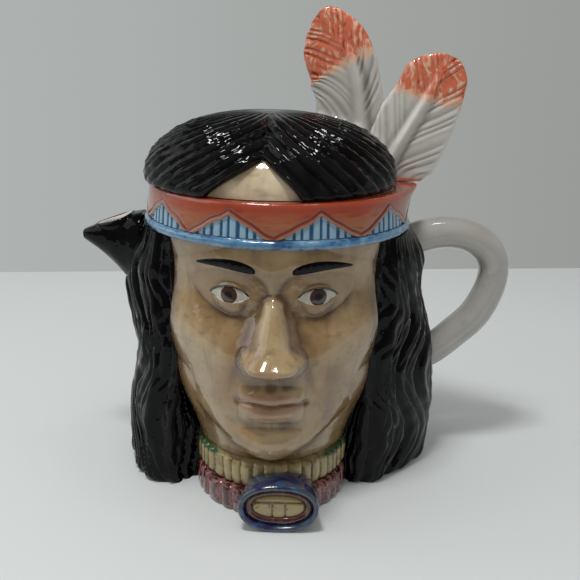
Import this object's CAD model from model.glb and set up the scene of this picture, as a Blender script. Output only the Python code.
"""Glazed face jug with a lift-off hair lid, dressed over its CAD frame.

Fine glazed pieces stand in for the plain solids of the frame, and ride with its bodies. Metres,
+Z up; the face looks along -Y, the spout along -X and the handle along +X. Angles round the jug
are in degrees from the front, positive towards the handle.
"""

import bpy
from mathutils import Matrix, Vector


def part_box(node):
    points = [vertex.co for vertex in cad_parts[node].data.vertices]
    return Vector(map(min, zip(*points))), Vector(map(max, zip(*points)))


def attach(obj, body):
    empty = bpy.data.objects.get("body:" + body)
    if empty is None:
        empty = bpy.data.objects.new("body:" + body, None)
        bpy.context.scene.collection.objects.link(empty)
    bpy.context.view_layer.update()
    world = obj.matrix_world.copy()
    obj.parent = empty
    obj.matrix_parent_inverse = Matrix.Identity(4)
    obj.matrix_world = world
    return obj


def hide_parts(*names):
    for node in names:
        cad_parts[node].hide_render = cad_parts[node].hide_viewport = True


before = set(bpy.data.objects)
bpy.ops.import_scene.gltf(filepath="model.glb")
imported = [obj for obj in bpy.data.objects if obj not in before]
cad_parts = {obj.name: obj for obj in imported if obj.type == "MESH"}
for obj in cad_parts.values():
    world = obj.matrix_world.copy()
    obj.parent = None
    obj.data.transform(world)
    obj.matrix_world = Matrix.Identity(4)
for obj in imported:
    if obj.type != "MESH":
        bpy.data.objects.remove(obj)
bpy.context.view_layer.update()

import math

import bmesh
import bpy
import numpy as np
from bpy.props import FloatProperty, FloatVectorProperty, IntProperty, PointerProperty
from mathutils import Matrix, Vector

bl_info = {
    "name": "Face jug",
    "version": (1, 0, 0),
    "blender": (4, 5, 0),
    "location": "View3D > Sidebar > Face jug",
    "description": "Builds a glazed face jug with a hair lid, feathers, headband and bead collar",
    "category": "Object",
}

MM = 0.001
GAP = 0.0003
LAYER_GAP = 0.00045


# Places that the frame fixes


def low(node):
    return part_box(node)[0]


def high(node):
    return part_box(node)[1]


RIM_Z = high("body_wall").z
HAIR_TOP = high("hair_back").z
BAND_BOTTOM = low("headband_cord").z
BAND_HEIGHT = RIM_Z - BAND_BOTTOM
CORD_RADIUS = 0.5 * (high("headband_cord").z - BAND_BOTTOM)
LID_SEAT = low("lid_hair").z
CROWN_Z = high("lid_hair").z
COLLAR_SPLIT = high("collar_lower").z
COLLAR_TOP = high("collar_upper").z
MEDALLION_LOW, MEDALLION_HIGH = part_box("medallion_rim")
MEDALLION_HALF_WIDTH = 0.5 * (MEDALLION_HIGH.x - MEDALLION_LOW.x)
MEDALLION_HALF_HEIGHT = 0.5 * (MEDALLION_HIGH.z - MEDALLION_LOW.z)
SPOUT_REACH = -low("spout").x


# Settings


def setting(kind, text, default, **more):
    """A property that is named by its description up to the comma."""
    return kind(name=text.partition(",")[0], description=text, default=default, **more)


def length(text, default):
    return setting(FloatProperty, text, default, unit="LENGTH", precision=5)


def turn(text, default):
    return setting(FloatProperty, text + ", in degrees", default)


def share(text, default):
    return setting(FloatProperty, text, default)


def count(text, default):
    return setting(IntProperty, text, default, min=1)


def colour(name, *default):
    return setting(FloatVectorProperty, name + ", its colour", default, subtype="COLOR", min=0.0, max=1.0)


class PotSizes(bpy.types.PropertyGroup):
    radius: length("Rim radius, outside the wall", 0.0545)
    wall: length("Wall, its thickness", 0.0045)
    floor: length("Floor, its thickness", 0.0055)
    neck_width: length("Neck width, half of it, behind the neck", 0.036)
    neck_depth: length("Neck depth, half of it, behind the neck", 0.050)
    cheek_width: length("Cheek width, half of it, behind the cheeks", 0.050)
    cheek_depth: length("Cheek depth, half of it, behind the cheeks", 0.053)
    belly: length("Belly, its radius under the hair", 0.058)
    front_sector: turn("Front sector, where the front starts to run into the belly", 60.0)
    side_sector: turn("Side sector, where the belly is reached", 85.0)


class FaceSizes(bpy.types.PropertyGroup):
    edge: turn("Edge, where the face meets the hair", 52.0)
    chin: length("Chin, its height", 0.028)
    width: length("Head width, five eyes wide", 0.097)
    eye_opening: length("Eye opening, its height", 0.0072)
    lid_fold: length("Eyelid, its thickness over the ball", 0.0011)
    iris: length("Iris, its radius", 0.0037)
    pupil: length("Pupil, its radius", 0.0017)
    brow: length("Brow, half its height", 0.0028)


class HairSizes(bpy.types.PropertyGroup):
    back_edge: turn("Back edge, where the side hair meets the back hair", 135.0)
    thickness: length("Thickness, the greatest swell over the belly", 0.020)
    locks: count("Locks, broad ones round the whole head", 26)
    lock_depth: length("Lock depth, of the grooves between locks", 0.0020)
    strands: count("Strands, round the whole head", 52)
    strand_depth: length("Strand depth, of the grooves between strands", 0.0014)
    fringe_depth: length("Fringe depth, of the grooves beside the face", 0.0013)
    wisps: count("Wisps, narrow ones round the whole head", 118)
    wisp_depth: length("Wisp depth, of the grooves between wisps", 0.0006)
    combing: count("Combing, fine lines round the whole head", 300)
    combing_depth: length("Combing depth, of the fine lines", 0.00010)
    corner: length("Corner, its roundness beside the face", 0.0042)
    corner_turn: turn("Corner turn, that this corner takes up", 4.0)
    tresses: count("Tresses, on the edge beside the face", 3)
    tress_depth: length("Tress depth, of the grooves on that edge", 0.0028)
    sway: turn("Sway, of the locks to each side", 6.2)
    sway_fade: turn("Sway fade, the still stretch beside the hair's edges", 20.0)
    wave_length: length("Wave length, the height of one wave of the locks", 0.062)


class BandSizes(bpy.types.PropertyGroup):
    thickness: length("Thickness, of the headband", 0.0063)
    taper: length("Taper, how far the band leans in at its top", 0.0012)
    triangles: count("Triangles, the blue ones round the band", 10)
    zigzag_low: length("Zigzag low, its lowest height in the band", 0.0048)
    zigzag_high: length("Zigzag high, its greatest height in the band", 0.0155)
    step: length("Step, how far the blue panels lie back", 0.0009)
    line: length("Line, the width of the raised one along the zigzag", 0.0017)
    cut: length("Cut, the width of the line cut over it", 0.00085)
    ribs: count("Ribs, in each blue triangle", 10)
    rib_height: length("Rib height, over the panel", 0.0006)
    seat_angle: turn("Feather seat, the place of the flare under the feathers", 92.0)
    seat_spread: turn("Flare spread, to each side", 12.0)
    seat_reach: length("Flare reach, how far it stands out", 0.0062)


class CollarSizes(bpy.types.PropertyGroup):
    lower: length("Lower row, its thickness at the front", 0.0115)
    upper: length("Upper row, its thickness at the front", 0.0080)
    side: length("Side, the thickness of both rows at the hair", 0.0045)
    lower_beads: count("Lower beads, in their row", 15)
    upper_beads: count("Upper beads, in their row", 19)
    bead: length("Bead, its height", 0.0016)


class MedallionSizes(bpy.types.PropertyGroup):
    centre: length("Centre, its place across the jug", 0.5 * (MEDALLION_LOW.x + MEDALLION_HIGH.x) - 0.0008)
    rim: length("Rim, its width", 0.0025)
    spread: length("Spread, how far the rim is pressed wide at each side", 0.0012)
    narrow: length("Narrowing, how far the rim draws in to the back", 0.0022)
    band: length("Band, its width inside the rim", 0.0032)
    sink: length("Sink, how far the band lies behind the rim", 0.0022)


class SpoutSizes(bpy.types.PropertyGroup):
    wall: length("Wall, its thickness", 0.0026)
    lip: length("Lip, the closed nose before the mouth", 0.0068)
    mouth: length("Mouth, its length on top", 0.0165)
    roll: length("Roll, the radius of the rim round the mouth", 0.0012)
    voxel: length("Grain, of the clay that the spout is smoothed at", 0.00042)


class HandleSizes(bpy.types.PropertyGroup):
    azimuth: turn("Azimuth, its place round the jug", 98.0)
    radius: length("Radius, of the handle's roll", 0.0080)
    reach: length("Reach, how far it stands off the belly", 0.0537)
    drop: length("Drop, from the band to the lower root", 0.0738)


class LidSizes(bpy.types.PropertyGroup):
    centre: length("Centre, the dome's place across the jug", -0.0035)
    radius: length("Radius, of the hair dome", 0.059)
    squareness: share("Squareness, the power of the dome's rounded section", 2.3)
    hair: length("Hair, its thickness on the lid", 0.0038)
    wall: length("Wall, the shell's thickness", 0.0050)
    flange: length("Flange, its outer radius in the mouth", 0.0492)
    flange_depth: length("Flange depth, in the mouth", 0.0085)
    flange_wall: length("Flange wall, its thickness", 0.0042)
    part_left: turn("Parting left, the left foot of the bare forehead", -27.0)
    part_apex: turn("Parting, its place", -2.0)
    part_right: turn("Parting right, the right foot of the bare forehead", 14.5)
    part_height: length("Parting height, of the bare forehead", 0.0176)
    sweep_left: turn("Left sweep, how far those strands swing back", 60.75)
    sweep_right: turn("Right sweep, how far those strands swing back", 40.5)
    locks: count("Locks, round the dome", 40)
    lock_depth: length("Lock depth, of the grooves between locks", 0.0014)
    strands: count("Strands, round the dome", 90)
    strand_depth: length("Strand depth, of the grooves between strands", 0.00035)
    combing: count("Combing, fine lines round the dome", 250)
    combing_depth: length("Combing depth, of the fine lines", 0.00006)


class FeatherSizes(bpy.types.PropertyGroup):
    height: length("Height, of the taller one over the lid's seat", 0.0772)
    root: length("Root, its distance outside the dome", 0.0105)
    root_y: length("Root depth, its place front to back", 0.006)
    turned: turn("Turn, of the feathers' plane", 20.0)
    thickness: length("Thickness, of a feather", 0.0052)
    shaft: length("Shaft, its height", 0.0018)
    shaft_width: length("Shaft width, half of it", 0.0021)
    set_back: length("Set back, how far the taller one stands behind", 0.0016)
    barb: length("Barb, the spacing of the grooves", 0.0066)
    barb_depth: length("Barb depth, of the grooves", 0.0007)
    barb_lean: share("Barb lean, the rise for each step off the shaft", 1.55)


class GlazeColours(bpy.types.PropertyGroup):
    black: colour("Black glaze", 0.0016, 0.0016, 0.0019)
    black_thin: colour("Thin black glaze", 0.0080, 0.0080, 0.0084)
    skin: colour("Skin glaze", 0.275, 0.172, 0.075)
    skin_pale: colour("Pale skin glaze", 0.43, 0.315, 0.17)
    forehead: colour("Forehead glaze", 0.80, 0.69, 0.49)
    umber: colour("Umber wash", 0.085, 0.042, 0.017)
    lips: colour("Lips", 0.33, 0.17, 0.12)
    eye: colour("White of the eye", 0.46, 0.43, 0.36)
    iris: colour("Iris", 0.045, 0.016, 0.008)
    white: colour("White glaze", 0.61, 0.585, 0.53)
    grey: colour("Pooled white glaze", 0.20, 0.185, 0.155)
    coral: colour("Coral glaze", 0.56, 0.135, 0.065)
    coral_pale: colour("Thin coral glaze", 0.66, 0.40, 0.27)
    coral_deep: colour("Pooled coral glaze", 0.27, 0.045, 0.018)
    orange: colour("Orange glaze", 0.33, 0.047, 0.017)
    tan: colour("Tan glaze", 0.32, 0.108, 0.048)
    line: colour("Zigzag line", 0.30, 0.15, 0.085)
    incised: colour("Incised line", 0.170, 0.020, 0.006)
    blue: colour("Blue glaze", 0.075, 0.20, 0.34)
    blue_pale: colour("Pale blue glaze", 0.25, 0.40, 0.50)
    blue_deep: colour("Deep blue glaze", 0.022, 0.075, 0.17)
    cobalt: colour("Cobalt glaze", 0.012, 0.012, 0.080)
    cobalt_pale: colour("Thin cobalt glaze", 0.036, 0.055, 0.080)
    cream: colour("Cream glaze", 0.31, 0.245, 0.105)
    ochre: colour("Ochre glaze", 0.17, 0.10, 0.03)
    green: colour("Green shading", 0.05, 0.095, 0.035)
    pink: colour("Pink glaze", 0.215, 0.085, 0.08)
    maroon: colour("Maroon glaze", 0.045, 0.006, 0.006)
    handle: colour("Handle glaze", 0.40, 0.385, 0.35)
    table: colour("Table", 0.685, 0.715, 0.705)
    wall: colour("Wall at the left", 0.43, 0.455, 0.445)
    wall_far: colour("Wall at the right", 0.31, 0.32, 0.305)
    ceiling: colour("Ceiling", 0.055, 0.055, 0.055)
    near_side: colour("Near side of the room", 0.13, 0.13, 0.13)


class StageSizes(bpy.types.PropertyGroup):
    near_edge: length("Near edge, of the table", -0.27)
    far_edge: length("Far edge, of the table behind the jug", 0.353)
    slant: share("Slant, of the far edge across the view", 0.121)
    table: length("Table, half its width", 2.0)
    lamp_power: setting(FloatProperty, "Lamp, its power in watts", 4.0)
    sky: share("Sky, the strength of the even light from all round", 0.46)


class FaceJug(bpy.types.PropertyGroup):
    pot: PointerProperty(type=PotSizes)
    face: PointerProperty(type=FaceSizes)
    hair: PointerProperty(type=HairSizes)
    band: PointerProperty(type=BandSizes)
    collar: PointerProperty(type=CollarSizes)
    medallion: PointerProperty(type=MedallionSizes)
    spout: PointerProperty(type=SpoutSizes)
    handle: PointerProperty(type=HandleSizes)
    lid: PointerProperty(type=LidSizes)
    feather: PointerProperty(type=FeatherSizes)
    colours: PointerProperty(type=GlazeColours)
    stage: PointerProperty(type=StageSizes)


def jug():
    return bpy.context.scene.face_jug


# Curves and blends


def clamp(value):
    return np.clip(value, 0.0, 1.0)


def step(start, end, value):
    """A soft step, from 0 at start to 1 at end."""
    t = clamp((value - start) / (end - start))
    return t * t * (3.0 - 2.0 * t)


def bell(distance, width):
    return np.exp(-0.5 * (distance / width) ** 2)


def bow(place):
    """A round arch, 1 high in the middle and 0 at places -1 and 1."""
    return np.sqrt(clamp(1.0 - place**2))


def carved(turns):
    """Rounded ridges with sharp grooves between them, one for each turn, about zero."""
    return np.abs(np.sin(math.pi * turns)) - 2.0 / math.pi


def grooves(turns):
    """Depth of the grooves between rounded ridges, from 0 on a ridge to 1, one for each turn."""
    return 1.0 - np.abs(np.sin(math.pi * turns))


def uneven(turns, along):
    """Swells along each ridge, about -1 to 1, which die out in the grooves beside it."""
    start = np.sin(np.floor(turns) * 12.9898) * 43.758
    wave = 0.6 * np.sin(2 * math.pi * along + start) + 0.4 * np.sin(4.6 * math.pi * along + 2.3 * start)
    return wave * np.abs(np.sin(math.pi * turns))


def ripple(angle, z, reach):
    """Slow irregular sway, about -1 to 1, which closes on itself round the jug."""
    a, rise = np.radians(angle), 2.0 * math.pi * z / reach
    slow = 0.5 * np.sin(3 * a + rise + 1) + 0.3 * np.sin(7 * a - 1.7 * rise)
    return slow + 0.2 * np.sin(12 * a + 2.9 * rise + 2)


def smooth_table(xs, ys, x):
    """A smooth curve through stations, read at x; each station may hold its own value for each x."""
    xs, ys = np.asarray(xs, float), np.asarray(ys, float)
    slopes = np.gradient(ys, xs, axis=0)
    i = np.clip(np.searchsorted(xs, x) - 1, 0, len(xs) - 2)
    span = xs[i + 1] - xs[i]
    t = clamp((x - xs[i]) / span)

    def read(values, k):
        return values[k] if values.ndim == 1 else np.take_along_axis(values, k[None], axis=0)[0]

    first = (2 * t**3 - 3 * t**2 + 1) * read(ys, i) + (t**3 - 2 * t**2 + t) * span * read(slopes, i)
    return first + (3 * t**2 - 2 * t**3) * read(ys, i + 1) + (t**3 - t**2) * span * read(slopes, i + 1)


def curves(rows, shares):
    """Smooth curves down the columns of a table, each read at shares of its length."""
    rows = np.array(rows)
    return [smooth_table(np.arange(len(rows)), column, shares * (len(rows) - 1)) for column in rows.T]


def wrapped(angle):
    return (angle + 180.0) % 360.0 - 180.0


def around(columns):
    """Even angles all round, in degrees."""
    return np.arange(columns) * 360.0 / columns


def circle(columns):
    """Even angles all round, in radians."""
    return np.arange(columns) * 2 * math.pi / columns


def points(x, y, z):
    return np.stack(np.broadcast_arrays(x, y, z), axis=-1)


def polar(angle, radius, z, centre_x=0.0):
    a = np.radians(angle)
    return points(centre_x + radius * np.sin(a), -radius * np.cos(a), z)


def unit(vectors):
    return vectors / np.linalg.norm(vectors, axis=-1, keepdims=True)


def beside(path):
    """Unit vectors across a line of points in a plane."""
    ahead = unit(np.gradient(path, axis=0))
    return np.stack([ahead[:, 1], -ahead[:, 0]], axis=-1)


def middles(rings):
    """Middle points of the first and the last ring."""
    return rings[0].mean(axis=0), rings[-1].mean(axis=0)


def softened(grid, reach):
    """The grid with each value spread over its neighbours within about reach steps."""
    weights = bell(np.arange(-2 * reach, 2 * reach + 1), reach)
    weights /= weights.sum()
    for axis in (0, 1):
        pad = [(0, 0), (0, 0)]
        pad[axis] = (2 * reach, 2 * reach)
        wide = np.pad(grid, pad, mode="edge")
        size = grid.shape[axis]
        grid = sum(w * np.take(wide, np.arange(k, k + size), axis) for k, w in enumerate(weights))
    return grid


# Form of the pot and of what lies on it


def levels():
    """A third of the face, then the heights of mouth, nose, eyes and brows by the usual thirds."""
    chin = jug().face.chin
    head = CROWN_Z - chin
    third = head * 7 / 8 / 3
    return third, chin + third * 2 / 3, chin + third, chin + head / 2, chin + 2 * third


def oval(angle, half_width, half_depth):
    """Radius of an oval at an angle from its front."""
    a = np.radians(angle)
    return 1.0 / np.hypot(np.sin(a) / half_width, np.cos(a) / half_depth)


def pot_radius(angle, z):
    """Outer radius of the pot's wall: narrow behind the face, round under the hair."""
    s = jug().pot
    _, mouth_z, _, eye_z, _ = levels()
    heights, level = (0.0, COLLAR_TOP, mouth_z, eye_z, BAND_BOTTOM), np.clip(z, 0.0, BAND_BOTTOM)

    def profile(neck, cheek):
        return smooth_table(heights, (neck, neck, cheek, cheek, s.radius), level)

    side = np.abs(wrapped(angle))
    front = oval(side, profile(s.neck_width, s.cheek_width), profile(s.neck_depth, s.cheek_depth))
    return front + (profile(s.belly, s.belly) - front) * step(s.front_sector, s.side_sector, side)


def eye_shape(x, z):
    """Depth inside the almond of an open eye, height over its fold, and place along the eye."""
    s = jug().face
    eye = s.width / 5
    along = (np.abs(x) - eye) / (0.46 * eye)
    middle = levels()[3] + 0.5 * MM * along
    arch = clamp(1.0 - along**2)
    top = middle + 0.58 * s.eye_opening * arch**0.8 * (1.0 - 0.12 * along)
    base = middle - 0.42 * s.eye_opening * arch**0.9 * (1.0 + 0.15 * along)
    inside = np.minimum(top - z, z - base) - np.maximum(np.abs(along) - 1.0, 0.0) * 0.46 * eye
    return inside, z - top - 2.3 * MM * (1.0 - 0.35 * along**2), along


def brow_line(along):
    """Height of the middle of a brow and its half height, at shares of its length."""
    arch = levels()[4] - 0.6 * MM + 2.4 * MM * np.sin(math.pi * along**0.9 * 0.82)
    body = clamp(along * (1.0 - along) * 4.0) ** 0.4
    return arch, jug().face.brow * body * (1.15 - 0.75 * along)


def mouth_shape(x, z):
    """Height over the line of the mouth, depth inside the lips, and fullness across them."""
    eye = jug().face.width / 5
    third, mouth_z, *_ = levels()
    across = clamp(1.0 - (x / (0.70 * eye)) ** 2)
    line = mouth_z + 0.35 * MM * (bell(np.abs(x) - 0.28 * eye, 0.14 * eye) - 1.3 * bell(x, 0.12 * eye))
    top = mouth_z + 0.165 * third * across**0.8 * (1.0 - 0.22 * bell(x, 0.09 * eye))
    base = mouth_z - 0.18 * third * across**0.65
    return z - line, np.minimum(top - z, z - base), across


def face_relief(x, z):
    """Height of the features over the plain head form: brows, eyes, nose, lips and chin."""
    s = jug().face
    eye = s.width / 5
    third, mouth_z, nose_z, eye_z, brow_z = levels()
    side = np.abs(x)

    def swell(height, place, width, level, up, tall):
        """A swell in mm, placed in eye widths off the middle and in thirds over a level."""
        return height * MM * bell(side - place * eye, width * eye) * bell(z - level - up * third, tall * third)

    # Brow, sockets, cheekbone, cheek, and the roundness of the mouth and the chin
    form = swell(2.4, 0.95, 0.75, brow_z, 0.0, 0.12)
    form += swell(-6.6, 1.0, 0.62, eye_z, 0.0, 0.24)
    form += swell(-2.8, 0.5, 0.22, eye_z, 0.0, 0.16)
    form += swell(2.8, 1.75, 0.7, eye_z, -0.42, 0.22)
    form += swell(-1.6, 1.7, 0.5, mouth_z, 0.05, 0.32)
    form += swell(4.2, 0.0, 0.85, mouth_z, 0.08, 0.33)
    form += swell(-2.4, 0.0, 0.6, s.chin, 0.42, 0.08)
    form += swell(3.5, 0.0, 0.55, s.chin, 0.17, 0.17)

    # Eyeballs under their lids, with a fold over the upper lid
    ball, back, blend = 0.6 * eye, 1.2 * MM, 0.96 * MM
    off = np.hypot(side - eye, z - eye_z)
    globe = np.sqrt(np.maximum(ball * ball - off * off, 0.0)) - ball - back
    inside, fold, along = eye_shape(x, z)
    lid = globe + s.lid_fold
    lids = 0.5 * (form + lid + np.sqrt((form - lid) ** 2 + blend * blend))
    lids -= 0.7 * MM * bell(fold, 0.55 * MM) * step(1.25, 0.8, np.abs(along))
    near = off < ball
    form = np.where(near, lids, form)
    form += (np.maximum(globe, form - 1.6 * MM) - form) * step(-0.25 * MM, 0.35 * MM, inside) * near

    # Nose with its wings and nostrils
    root, tip, foot = eye_z + 0.05 * third, nose_z + 0.15 * third, nose_z - 0.02 * third
    proud, below = 16.5 * MM, z < tip
    down = clamp((root - z) / (root - tip))
    rise = 1.8 * MM + 14.7 * MM * down**1.1
    broad = np.where(below, proud * step(foot - 0.16 * third, tip, z), rise)
    rise = np.where(below, proud * bow((tip - z) / (tip - foot)), rise)
    half = 4.4 * MM + 3.4 * MM * down
    ridge = 0.75 * np.exp(-((side / half) ** 2.6)) * rise * (z > foot)
    form += (ridge + 0.25 * bell(x, 1.4 * half) * broad) * step(root, root - 0.12 * third, z)
    form += swell(6.2, 0.40, 0.17, nose_z, 0.12, 0.085)
    round_wing = np.hypot(side - 0.38 * eye, z - nose_z - 0.12 * third) - 0.31 * eye
    form -= 0.8 * MM * bell(round_wing, 0.8 * MM) * step(0.42 * eye, 0.58 * eye, side)
    form += swell(-3.0, 0.25, 0.085, nose_z, 0.035, 0.030)

    # Lips, the groove above them and the soft fold beside them
    over_line, in_lips, across = mouth_shape(x, z)
    upper = bell(z - mouth_z - 0.085 * third, 0.055 * third)
    lower = bell(z - mouth_z + 0.095 * third, 0.065 * third)
    form += across**0.85 * MM * (2.6 * upper + 3.2 * lower)
    form -= 1.5 * MM * across**0.55 * bell(over_line, 0.6 * MM)
    form += 0.25 * MM * bell(in_lips, 0.5 * MM) * across**0.5
    form -= 1.1 * MM * bell(side - 0.72 * eye, 1.5 * MM) * bell(z - mouth_z, 1.3 * MM)
    lip_top = mouth_z + 0.15 * third
    groove = step(lip_top - MM, lip_top + MM, z) * step(foot + MM, foot - 2 * MM, z)
    form += groove * MM * (0.5 * bell(side - 0.16 * eye, 0.055 * eye) - 0.9 * bell(x, 0.075 * eye))
    down = clamp((nose_z + 0.12 * third - z) / (0.46 * third))
    beyond = side - eye * (0.66 + 0.30 * down**0.8)
    cheek = 0.5 * bell(beyond - 3.2 * MM, 3.2 * MM) - 0.55 * bell(beyond, 2.0 * MM)
    return form + step(0.0, 0.25, down) * step(1.0, 0.75, down) * MM * cheek


def face_radius(angle, z):
    """Outer radius of the face, the head form with its features over a bare neck, and x across it."""
    s, pot = jug().face, jug().pot
    _, mouth_z, nose_z, *_ = levels()
    neck = pot_radius(angle, z) + 3.5 * MM
    cheek = pot.cheek_width + 4.3 * MM
    heights = (s.chin, mouth_z, nose_z, BAND_BOTTOM)
    half_width = smooth_table(heights, (0.7 * cheek, 0.93 * cheek, cheek, cheek), z)
    half_depth = pot.cheek_depth + smooth_table(heights, (9.0 * MM, 8.5 * MM, 7.5 * MM, 5.8 * MM), z)
    head = oval(angle, half_width, half_depth)
    x = head * np.sin(np.radians(angle))
    jaw = s.chin + 30 * MM * (np.abs(angle) / s.edge) ** 1.5
    under_chin = bow(1.0 - clamp((z - jaw + 3 * MM) / (13 * MM)))
    return np.maximum(neck, neck + (head + face_relief(x, z) - neck) * under_chin), x


# Swell of the hair over the belly, as shares of its thickness: at angles, from the foot to the band
HAIR_HEIGHTS = (0.0, 0.25, 0.50, 0.75, 0.92, 1.0)
HAIR_SWELLS = {
    -180: (0.700, 0.750, 0.700, 0.600, 0.450, 0.250),
    -135: (0.600, 0.650, 0.600, 0.550, 0.400, 0.225),
    -110: (0.650, 0.700, 0.550, 0.550, 0.400, 0.225),
    -90: (0.675, 0.675, 0.485, 0.715, 0.450, 0.225),
    -68: (0.550, 0.550, 0.350, 0.350, 0.300, 0.200),
    -52: (0.350, 0.350, 0.150, 0.150, 0.150, 0.150),
    52: (-0.050, 0.050, 0.100, 0.125, 0.150, 0.150),
    68: (0.200, 0.350, 0.375, 0.325, 0.325, 0.200),
    90: (0.950, 1.075, 0.975, 0.600, 0.550, 0.250),
    112: (1.050, 1.150, 1.050, 0.750, 0.600, 0.250),
    135: (0.900, 1.000, 0.900, 0.700, 0.550, 0.250),
    180: (0.700, 0.750, 0.700, 0.600, 0.450, 0.250),
}


def hair_radius(angle, z):
    """Outer radius of the long hair, and the relief of its locks, strands and combed lines."""
    s, edge = jug().hair, jug().face.edge
    turn_at, z = np.broadcast_arrays(wrapped(angle), z)
    level = clamp(z / HAIR_TOP)
    swells = np.array([smooth_table(HAIR_HEIGHTS, row, level) for row in HAIR_SWELLS.values()])
    swell = smooth_table(list(HAIR_SWELLS), swells, turn_at)
    side = np.abs(turn_at)
    still = step(edge, edge + s.sway_fade, side) * step(0.0, s.sway_fade, np.abs(side - s.back_edge))
    swing = np.sin(2.0 * math.pi * z / s.wave_length + 2.0 * np.radians(turn_at))
    stray, loose = ripple(turn_at, z, 0.085), ripple(turn_at + 40.0, z, 0.052)
    turns = (turn_at + s.sway * still * swing) / 360.0
    free = turns + 0.3 * s.sway * (1.0 - still) * swing / 360.0
    locks = carved(s.locks * turns)
    strands = carved(s.strands * turns + 0.10 * stray)
    wisps = carved(s.wisps * free + 0.75 * stray + 0.35 * loose)
    knots = 0.25 * MM * uneven(s.strands * free + 0.10 * stray, z / 0.021)
    combing = carved(s.combing * free + 2.4 * loose + 1.4 * stray)
    fringe = s.fringe_depth * carved(2.2 * s.strands * free + 0.85 * loose + 0.5 * stray)
    fringe = fringe * bell(side - edge - 6.0, 9.0)
    tuck = step(HAIR_TOP, HAIR_TOP - 18 * MM, z)
    relief = (s.lock_depth * locks + s.strand_depth * strands + knots + fringe) * tuck
    fine = s.wisp_depth * (0.8 + 0.5 * loose) * wisps + s.combing_depth * combing
    relief = relief + (0.4 + 0.6 * tuck) * fine
    under = clamp(1.0 - z / (4.0 * MM + 3.5 * MM * clamp(0.3 - locks)))
    roll = 3.0 * MM * bow(np.minimum(side - edge, 7.0) / 7.0) + 3.2 * MM * (1.0 - bow(under))
    core = pot_radius(angle, z) + LAYER_GAP
    plain = np.maximum(jug().pot.belly + s.thickness * swell - roll, core + 2.8 * MM)
    return np.maximum(plain + relief, core + 0.8 * MM), relief


def dome_point(angle, t, inset):
    """Point on the lid's dome: t runs from 0 at the crown to 1 at the edge."""
    s = jug().lid
    a, power = 0.5 * math.pi * t, 2.0 / s.squareness
    z = LID_SEAT + (CROWN_Z - LID_SEAT - inset) * clamp(np.cos(a)) ** power
    return polar(angle, (s.radius - inset) * np.sin(a) ** power, z, s.centre)


# Mesh builders


def grid_faces(rows, cols, start=0, closed=False):
    """Quads of a grid of points, row by row; a closed grid joins its last column to its first."""
    i, j = np.meshgrid(np.arange(rows - 1), np.arange(cols if closed else cols - 1), indexing="ij")
    n = (j + 1) % cols
    quads = np.stack([i * cols + j, i * cols + n, (i + 1) * cols + n, (i + 1) * cols + j], axis=-1)
    return (quads.reshape(-1, 4) + start).tolist()


def ring_faces(rows, cols):
    """Faces of closed rings of points whose last ring joins the first."""
    k = np.arange(cols)
    last, n = (rows - 1) * cols, (k + 1) % cols
    return grid_faces(rows, cols, closed=True) + np.stack([last + k, last + n, n, k], axis=-1).tolist()


def volume(verts, faces):
    """Signed volume of a closed mesh, which tells whether its faces look outward."""
    total = 0.0
    for corners in {len(f) for f in faces}:
        same = np.array([f for f in faces if len(f) == corners])
        for k in range(1, corners - 1):
            a, b, c = (verts[same[:, n]] for n in (0, k, k + 1))
            total += np.einsum("ij,ij->i", a, np.cross(b, c)).sum()
    return total


def closed_mesh(name, verts, faces):
    """A mesh whose faces look outward."""
    verts = np.asarray(verts, float).reshape(-1, 3)
    if volume(verts, faces) < 0:
        faces = [f[::-1] for f in faces]
    mesh = bpy.data.meshes.new(name)
    mesh.from_pydata(verts.tolist(), [], faces)
    return mesh


def add_object(name, data):
    obj = bpy.data.objects.new(name, data)
    bpy.context.scene.collection.objects.link(obj)
    return obj


def new_piece(name, verts, faces, slot, mat, body="jug", nodes=(), **paint):
    """Makes a piece of the part, lays its paint on its points and lets it ride with its body."""
    mesh = closed_mesh(name, verts, faces)
    for key, values in paint.items():
        filled = np.zeros(len(mesh.vertices), np.float32)
        filled[: np.size(values)] = np.ravel(values)
        mesh.attributes.new(key, "FLOAT", "POINT").data.foreach_set("value", filled)
    mesh.materials.append(mat)
    mesh.shade_smooth()
    mesh.set_sharp_from_angle(angle=math.radians(60.0))
    mesh.update()
    obj = add_object(name, mesh)
    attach(obj, body)
    if nodes:
        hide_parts(*nodes)
    return obj


def sheet(name, outer, inner, **kind):
    """A closed sheet between a fine outer grid and a coarse inner grid with the same corners."""
    start = outer.shape[0] * outer.shape[1]
    front = np.arange(start).reshape(outer.shape[:2])
    back = start + np.arange(inner.shape[0] * inner.shape[1]).reshape(inner.shape[:2])
    faces = grid_faces(*front.shape) + [f[::-1] for f in grid_faces(*back.shape, start)]
    for fine, coarse, turned in (
        (front[0], back[0], True),
        (front[-1], back[-1], False),
        (front[:, 0], back[:, 0], False),
        (front[:, -1], back[:, -1], True),
    ):
        n = (len(fine) - 1) // (len(coarse) - 1)
        for k in range(len(coarse) - 1):
            run, pair = fine[k * n : (k + 1) * n + 1].tolist(), coarse[k : k + 2].tolist()
            faces.append(run[::-1] + pair if turned else run + pair[::-1])
    return new_piece(name, np.concatenate([outer.reshape(-1, 3), inner.reshape(-1, 3)]), faces, **kind)


def on_pot(angles, heights):
    """A grid of points just off the pot's wall."""
    a, z = np.meshgrid(angles, heights)
    return polar(a, pot_radius(a, z) + LAYER_GAP, z)


def wrapped_sheet(name, angles, heights, radius, every, **kind):
    """A sheet that lies on the pot, from its outer radii at the given angles and heights."""
    outer = polar(angles, radius, heights[:, None])
    return sheet(name, outer, on_pot(angles[:: every[0]], heights[:: every[1]]), **kind)


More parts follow.
